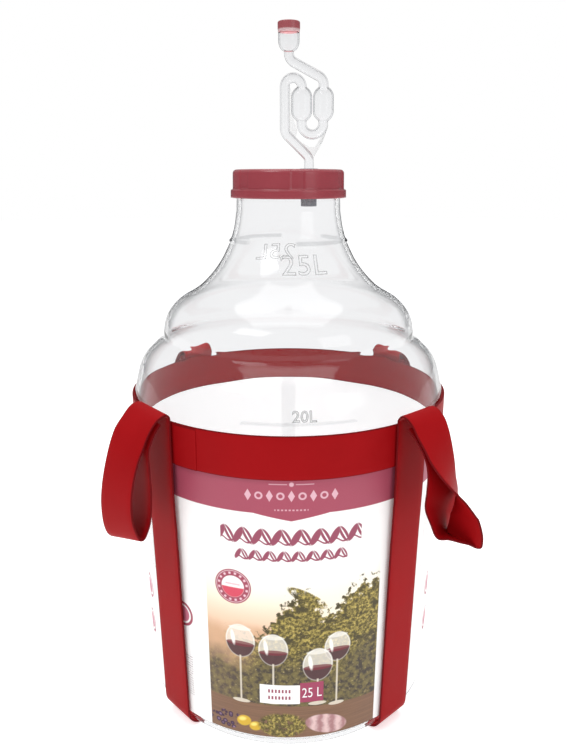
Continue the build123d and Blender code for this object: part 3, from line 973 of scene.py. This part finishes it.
route_corners = [
    (cup_x, cup_top), (cup_x, 94 * mm), (right_chamber, 78 * mm), (right_chamber, 30.7 * mm),
    (left_chamber, 30.7 * mm), (left_chamber, 79 * mm), (side_tube, 79 * mm),
    (side_tube, 32 * mm), (0, 10.5 * mm), (0, airlock_low.z - cap_top)]
trap_bend = (right_chamber - left_chamber) / 2 - 0.05 * mm
arch_bend = (left_chamber - side_tube) / 2 - 0.05 * mm
bend_radii = [9 * mm, 7.5 * mm, trap_bend, trap_bend, arch_bend, arch_bend, 10 * mm, 9 * mm]
route = [Vector(route_corners[0])]
for index, radius in enumerate(bend_radii):
    route += bend(*route_corners[index:index + 3], radius)
route.append(Vector(route_corners[-1]))


def evenly(points, step):
    """The same line with a point every step along it."""
    line = [points[0]]
    ahead = step
    for here, there in zip(points, points[1:]):
        run = (there - here).length
        while ahead < run:
            line.append(here.lerp(there, ahead / run))
            ahead += step
        ahead -= run
    return line + [points[-1]]


def dome(share):
    """How far a rounded end has swelled: 0 at its foot, 1 where it is full."""
    share = max(0.0, min(1.0, share))
    return math.sqrt(1 - (1 - share) ** 2)


def tube_size(point):
    """Outer radius of the airlock at a point of its route."""
    x, z = point
    if abs(x - cup_x) < 0.5 * mm and z > cup_foot:
        if z > cup_top - cup_rim:
            return cup_neck
        return tube + (cup_radius - tube) * dome((z - cup_foot) / cup_dome)
    in_line = min(abs(x - left_chamber), abs(x - right_chamber)) < 0.5 * mm
    if in_line and chamber_foot < z < chamber_head:
        near_end = min(z - chamber_foot, chamber_head - z)
        return max(tube, chamber * dome((near_end + 1.0 * mm) / chamber))
    return tube


airlock_line = evenly(route, 0.6 * mm)
last_point = len(airlock_line) - 1
airlock_shape = bmesh.new()
bmesh.ops.create_grid(airlock_shape, x_segments=last_point, y_segments=32, size=0.5)
for vertex in airlock_shape.verts:
    index = round((vertex.co.x + 0.5) * last_point)
    point = airlock_line[index]
    run = heading(airlock_line, index)
    turn = vertex.co.y * 2 * math.pi
    out = tube_size(point)
    x, z = point + Vector((run.y, -run.x)) * (math.cos(turn) * out)
    vertex.co = (stem_x + x, math.sin(turn) * out, cap_top + z)
mended(airlock_shape)
bmesh.ops.solidify(airlock_shape, geom=airlock_shape.faces[:], thickness=tube_wall)
bmesh.ops.recalc_face_normals(airlock_shape, faces=airlock_shape.faces)
airlock = finished("airlock", airlock_shape, 50)
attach(airlock, "airlock")
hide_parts("airlock")
clear_plastic = Finish("clear plastic", Roughness=0.0, IOR=1.2, Transmission_Weight=1.0)
# Seen edge on the clear plastic turns dark: painted shade for its outlines.
clear_plastic.mottle(clear_plastic.grazed().step(0.48, 0.90), clear_tint, (0.13, 0.14, 0.15))
haze = clear_plastic.noise(400.0, 2.0)
clear_plastic.bump(haze, 0.02, 0.0002)
clear_plastic.let_lamps_through()
airlock.data.materials.append(clear_plastic.material)

# The thin web that ties the tubes together, moulded with them.
web_plastic = Finish("web plastic", Base_Color=(0.55, 0.56, 0.57), Roughness=0.08, IOR=1.46)
web_haze = web_plastic.noise(300.0, 2.0)
# The web shows grey, more so seen edge on: painted shade for its outlines.
web_plastic.set("Alpha", 0.10 + 0.08 * web_haze + 0.5 * web_plastic.grazed().step(0.5, 0.95))
web_half = 0.7 * mm
web_outlines = [
    [(right_chamber + 3.0 * mm, 34 * mm), (right_chamber - 1 * mm, 23.4 * mm),
     (5 * mm, 19.6 * mm), (0, 19.8 * mm), (-6 * mm, 23.5 * mm), (-3.5 * mm, 17.5 * mm),
     (3.6 * mm, 9 * mm)],
    [(side_tube + 3.8 * mm, 74 * mm), (side_tube + 3.8 * mm, 34 * mm), (-13 * mm, 26 * mm),
     (left_chamber - 3.8 * mm, 34 * mm), (left_chamber - 8.8 * mm, 48 * mm),
     (left_chamber - 8.8 * mm, 66 * mm)]]
for index, outline in enumerate(web_outlines):
    web_shape = bmesh.new()
    rim = [web_shape.verts.new((stem_x + x, -web_half, cap_top + z)) for x, z in outline]
    grown = bmesh.ops.extrude_face_region(web_shape, geom=[web_shape.faces.new(rim)])["geom"]
    grown = [part for part in grown if isinstance(part, bmesh.types.BMVert)]
    bmesh.ops.translate(web_shape, verts=grown, vec=(0, 2 * web_half, 0))
    bmesh.ops.recalc_face_normals(web_shape, faces=web_shape.faces)
    bmesh.ops.bevel(web_shape, geom=web_shape.edges[:], offset=0.25 * mm, offset_type="OFFSET",
                    affect="EDGES", segments=2, profile=0.5, material=-1, clamp_overlap=True)
    web = finished(f"airlock-web-{index + 1}", web_shape)
    web.data.materials.append(web_plastic.material)
    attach(web, "airlock")

# ---- Dust cap -----------------------------------------------------------
# A small red push-on cap over the airlock's cup, moulded with a fine lip.

dust_low, dust_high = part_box("airlock_dust_cap")
dust_x = (dust_low.x + dust_high.x) / 2
dust_radius = (dust_high.x - dust_low.x) / 2
dust_wall = 0.95 * mm
dust_bore = dust_radius - dust_wall
dust_edge = 1.2 * mm
dust_foot, dust_top = dust_low.z, dust_high.z
dust_dip = dust_top - 0.3 * mm
dust_ceiling = dust_top - dust_wall
dust_shape = turned(traced(
    (0, dust_dip),
    ((dust_radius * 0.55, dust_dip), 3),
    ((dust_radius * 0.62, dust_dip), (dust_radius * 0.68, dust_top), 3),
    ((dust_radius - dust_edge, dust_top), 1),
    ((dust_radius, dust_top), (dust_radius, dust_top - dust_edge), 6),
    ((dust_radius, dust_foot + 2.2 * mm), 3),
    ((dust_radius - 0.25 * mm, dust_foot + 2.0 * mm),
     (dust_radius - 0.25 * mm, dust_foot + 1.8 * mm), 3),
    ((dust_radius - 0.2 * mm, dust_foot), 2),
    ((dust_bore, dust_foot), 1),
    ((dust_bore, dust_ceiling), 4),
    ((dust_bore, dust_ceiling - 0.3 * mm), 1),
    ((0, dust_ceiling - 0.3 * mm), 3)), 96, closed=False)
bmesh.ops.translate(dust_shape, verts=dust_shape.verts, vec=(dust_x, 0, 0))
dust_cap = finished("dust-cap", dust_shape, 30)
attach(dust_cap, "dust_cap")
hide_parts("airlock_dust_cap")

# The lip is paler, and the underside glows a little: painted light in place of the light that comes
# in through the cup.
dusty_red = Finish("dust cap plastic", Roughness=0.35, Emission_Strength=1.0)
dusty_grain = dusty_red.noise(700.0, 3.0)
dusty_x, dusty_y, dusty_z = dusty_red.parts()
dusty_lip = 1 - dusty_z.step(dust_foot + 1.2 * mm, dust_foot + 2.4 * mm)
dusty_shade = dusty_red.mix(dusty_grain, (0.25, 0.05, 0.06), (0.31, 0.07, 0.08))
dusty_red.mottle(dusty_lip * 0.6, dusty_shade, (0.70, 0.58, 0.58))
off_middle = ((dusty_x - dust_x) * (dusty_x - dust_x) + dusty_y * dusty_y).root()
painted_glow_under_cap = (off_middle < dust_bore + 0.1 * mm) * (dusty_z < dust_top - 0.6 * mm)
dusty_red.set("Emission Color", dusty_red.mix(painted_glow_under_cap, (0.0, 0.0, 0.0), (0.42, 0.20, 0.21)))
dusty_red.bump(dusty_grain, 0.1, 0.0002)
dust_cap.data.materials.append(dusty_red.material)

# ---- Hoop band ----------------------------------------------------------
# Smooth red plastic strap stock, closed into a hoop with a short welded lap.

strap_width = 39.0 * mm
strap_thickness = 2.0 * mm
strap_red = Finish("red strap plastic", Specular_IOR_Level=0.05)
along, across, _ = strap_red.parts("UV")
draw_lines = strap_red.noise(1.0, at=strap_red.together(along * 2.0, across * 900.0))
blotch = strap_red.noise(30.0, 3.0)
# The strap's edges are painted dark: painted shade where the rounded edges turn away from the
# light.
painted_edge_shade = ((across - 0.5).size() * 2).step(0.93, 1.0)
strap_shade = strap_red.mix(blotch, (0.28, 0.003, 0.0045), (0.335, 0.0045, 0.007))
strap_red.mottle(painted_edge_shade * 0.7, strap_shade, (0.07, 0.004, 0.006))
strap_red.set("Roughness", 0.40 + 0.12 * blotch + 0.05 * draw_lines)
strap_red.bump(draw_lines, 0.12, 0.0003)


def strip(name, rows, width, thickness, columns=6, edge=0.5 * mm):
    """A strap with rounded edges. A row is its centre, side direction and face direction."""
    flat, thick = width / 2 - edge, thickness / 2
    half_round = [(flat + edge * math.cos(turn), (thick - edge) * sign + edge * math.sin(turn))
                  for sign, degrees in ((1, (60, 30, 0)), (-1, (0, -30, -60)))
                  for turn in map(math.radians, degrees)]
    face = [(flat * (2 * step / columns - 1), thick) for step in range(columns + 1)]
    section = face + half_round
    section += [(-x, -z) for x, z in section]
    section.append(section[0])
    length = [0.0]
    for before, here in zip(rows, rows[1:]):
        length.append(length[-1] + (here[0] - before[0]).length)
    last_row, last_column = len(rows) - 1, len(section) - 1
    shape = bmesh.new()
    uv = shape.loops.layers.uv.new("strap")
    bmesh.ops.create_grid(shape, x_segments=last_row, y_segments=last_column, size=0.5,
                          calc_uvs=True)
    for face in shape.faces:
        for loop in face.loops:
            row, column = loop[uv].uv
            x, _ = section[round(column * last_column)]
            loop[uv].uv = (length[round(row * last_row)], x / width + 0.5)
    for vertex in shape.verts:
        centre, sideways, facing = rows[round((vertex.co.x + 0.5) * last_row)]
        x, z = section[round((vertex.co.y + 0.5) * last_column)]
        vertex.co = centre + sideways * x + facing * z
    bmesh.ops.remove_doubles(shape, verts=shape.verts, dist=1e-6)
    bmesh.ops.holes_fill(shape, edges=[e for e in shape.edges if e.is_boundary], sides=0)
    bmesh.ops.recalc_face_normals(shape, faces=shape.faces)
    piece = finished(name, shape, 60)
    piece.data.materials.append(strap_red.material)
    return piece


up = Vector((0, 0, 1))


def directions(azimuth):
    """Straight out from the axis at an azimuth, and along the hoop there."""
    turn = math.radians(azimuth)
    return Vector(round_point(1, turn, 0)), Vector((math.cos(turn), math.sin(turn), 0))


def round_rows(start, end, radius, height, count):
    """Rows of a strap bent round the bottle between two azimuths."""
    rows = []
    for index in range(count + 1):
        facing, _ = directions(start + (end - start) * index / count)
        rows.append((facing * radius + up * height, up, facing))
    return rows


hoop_radius = hoop_high.x
hoop_middle = (hoop_low.z + hoop_high.z) / 2
hoop_height = hoop_high.z - hoop_low.z
front_left = -47.0
front_right = 43.0
lap_start = front_left + math.degrees(strap_width / 2 / hoop_radius) + 0.7
hoop_rows = round_rows(front_left, front_left + 360, hoop_radius - strap_thickness / 2,
                       hoop_middle, 180)
hoop_band = strip("hoop-band", hoop_rows, hoop_height, strap_thickness - 0.1 * mm)
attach(hoop_band, "harness")
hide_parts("hoop_band")
lap_rows = round_rows(lap_start, lap_start + 9.0, hoop_radius + 0.2 * mm,
                      hoop_middle - 0.5 * mm, 12)
lap = strip("hoop-lap", lap_rows, hoop_height - 1.2 * mm, 0.8 * mm, edge=0.2 * mm)
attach(lap, "harness")

# ---- Long straps --------------------------------------------------------
# Two lengths of the same strap cross under the bottle, one over the other, and
# run up outside the hoop, where they are welded to it.

fold_height = hoop_top + 8 * mm
upright = hoop_radius + 0.15 * mm + strap_thickness / 2


def side_rows(azimuth, points, steps):
    """Rows of a strap whose route lies in the upright plane at an azimuth."""
    facing, beside = directions(azimuth)
    line = flowing(points, steps)
    rows = []
    for index, point in enumerate(line):
        run = heading(line, index)
        rows.append((facing * point.x + up * point.y, beside, facing * run.y - up * run.x))
    return rows


def long_strap(name, node, azimuth, over):
    """U-shaped route: down one side, under the bottle and up the other."""
    half_thick = strap_thickness / 2
    low_side = body_radius_low + 0.6 * mm + half_thick
    curl = base_corner + half_thick
    crossing = half_thick + (strap_thickness if over else 0)
    half = [(upright, fold_height - 6 * mm), (upright, hoop_low.z),
            (upright - 0.3 * mm, hoop_low.z - 30 * mm)]
    half += [(low_side + (upright - low_side) * share, outer_low + (hoop_low.z - outer_low) * share)
             for share in (0.72, 0.5, 0.25, 0.06)]
    for step in range(7):
        turn = math.radians(90 * step / 6)
        height = max(outer_low - curl * math.sin(turn), half_thick)
        half.append((low_side - curl * (1 - math.cos(turn)), height))
    half += [(90 * mm, half_thick), (56 * mm, half_thick), (34 * mm, crossing), (12 * mm, crossing)]
    whole = half + [(-out, height) for out, height in reversed(half)]
    piece = strip(name, side_rows(azimuth, whole, 4), strap_width, strap_thickness - 0.1 * mm)
    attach(piece, "harness")
    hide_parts(node)


long_strap("lower-long-strap", "strap_lower", front_left, False)
long_strap("upper-long-strap", "strap_upper", front_right, True)

# ---- Hand loops ---------------------------------------------------------
# The end of each strap is folded outward over the hoop and welded back on
# itself as a hand loop.

# Both edges of each loop, from the fold round to the weld: millimetres out from the
# strap, up from the hoop's upper edge, and along the hoop from the strap's middle.
plain_near = [
    (0, 2), (0.3, 5.4), (4.5, 10.4), (13, 9.6), (23, 0.5), (31, -9), (40, -32), (47, -60),
    (48, -83), (44.5, -100), (37, -105.5), (29.5, -99), (24.5, -85), (22, -60), (22.5, -36),
    (23, -18.5), (19, -5.5), (11.5, 3.2)]
plain_far = [
    (0, 2), (0.3, 4.4), (3.5, 7.0), (12, 4.0), (20, -5), (25, -14), (33, -30), (39, -52),
    (40.5, -75), (36.5, -92), (32, -98), (27, -92), (23.5, -82), (21.5, -58), (22, -36),
    (21.5, -20), (16, -8), (9, 0.5)]
turned_near = [
    (0, 2), (0.3, 4.6), (4.5, 8.4), (13, 4.4), (20.5, -5.5), (27.9, -14.3), (34.8, -23.8),
    (47.6, -35.9), (56.5, -42.8), (64.8, -50.1), (72.6, -60.6), (77.5, -71.2), (79.2, -79.3),
    (77.3, -87.2), (65.7, -86.2), (53.6, -85.5), (44.3, -86.9), (38.2, -77.3), (31.5, -64.9),
    (32, -50.1), (32, -34), (27.5, -19.5), (18.5, -8), (10, -0.8)]
turned_far = [
    (0, 2), (0.3, 5.6), (8, 9.6), (17.6, 4), (22.7, -4.6), (27, -16.8), (30.9, -30.5),
    (34.3, -44.8), (38.3, -56.1), (39.4, -65.3), (39.8, -72.6), (38.9, -81.2), (37.3, -88.2),
    (35.9, -92.7), (33.5, -96.1), (31.6, -97.7), (32, -93.7), (33.4, -84.4), (34.8, -72),
    (35.8, -57), (29.4, -44.5), (25.5, -28), (17.5, -12.5), (10, -4)]
loops = {
    "front_left": (front_left, plain_near, plain_far, 1.0),
    "front_right": (front_right, turned_near, turned_far, 1.0),
    "rear_right": (front_left + 180, plain_far, plain_near, 0.97),
    "rear_left": (front_right + 180, plain_near, plain_far, 0.93),
}
loop_width = strap_width - 0.4 * mm


def loop_rows(azimuth, near, far, reach):
    """Rows of a hand loop, from the strap up over the fold, round and back to the weld."""
    facing, beside = directions(azimuth)
    edges = []
    for points in (near, far):
        line = flowing([(out * mm, height * mm) for out, height in points], 5)
        edges.append([facing * (upright + point.x * reach) + up * (hoop_top + point.y)
                      for point in line])
    centres = [(one + other) / 2 for one, other in zip(*edges)]
    half = loop_width / 2
    rows = []
    for index, (one, other) in enumerate(zip(*edges)):
        lean = (other - one) / 2
        level = math.sqrt(max(half * half - lean.length ** 2, (0.35 * half) ** 2))
        sideways = (lean + beside * level) / half
        across_it = heading(centres, index).cross(sideways).normalized()
        rows.append((centres[index], sideways, across_it))
    return rows


for name, (azimuth, near, far, reach) in loops.items():
    loop = strip("loop-" + name.replace("_", "-"), loop_rows(azimuth, near, far, reach),
                 loop_width, strap_thickness - 0.2 * mm)
    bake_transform(loop)
    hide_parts("loop_" + name)
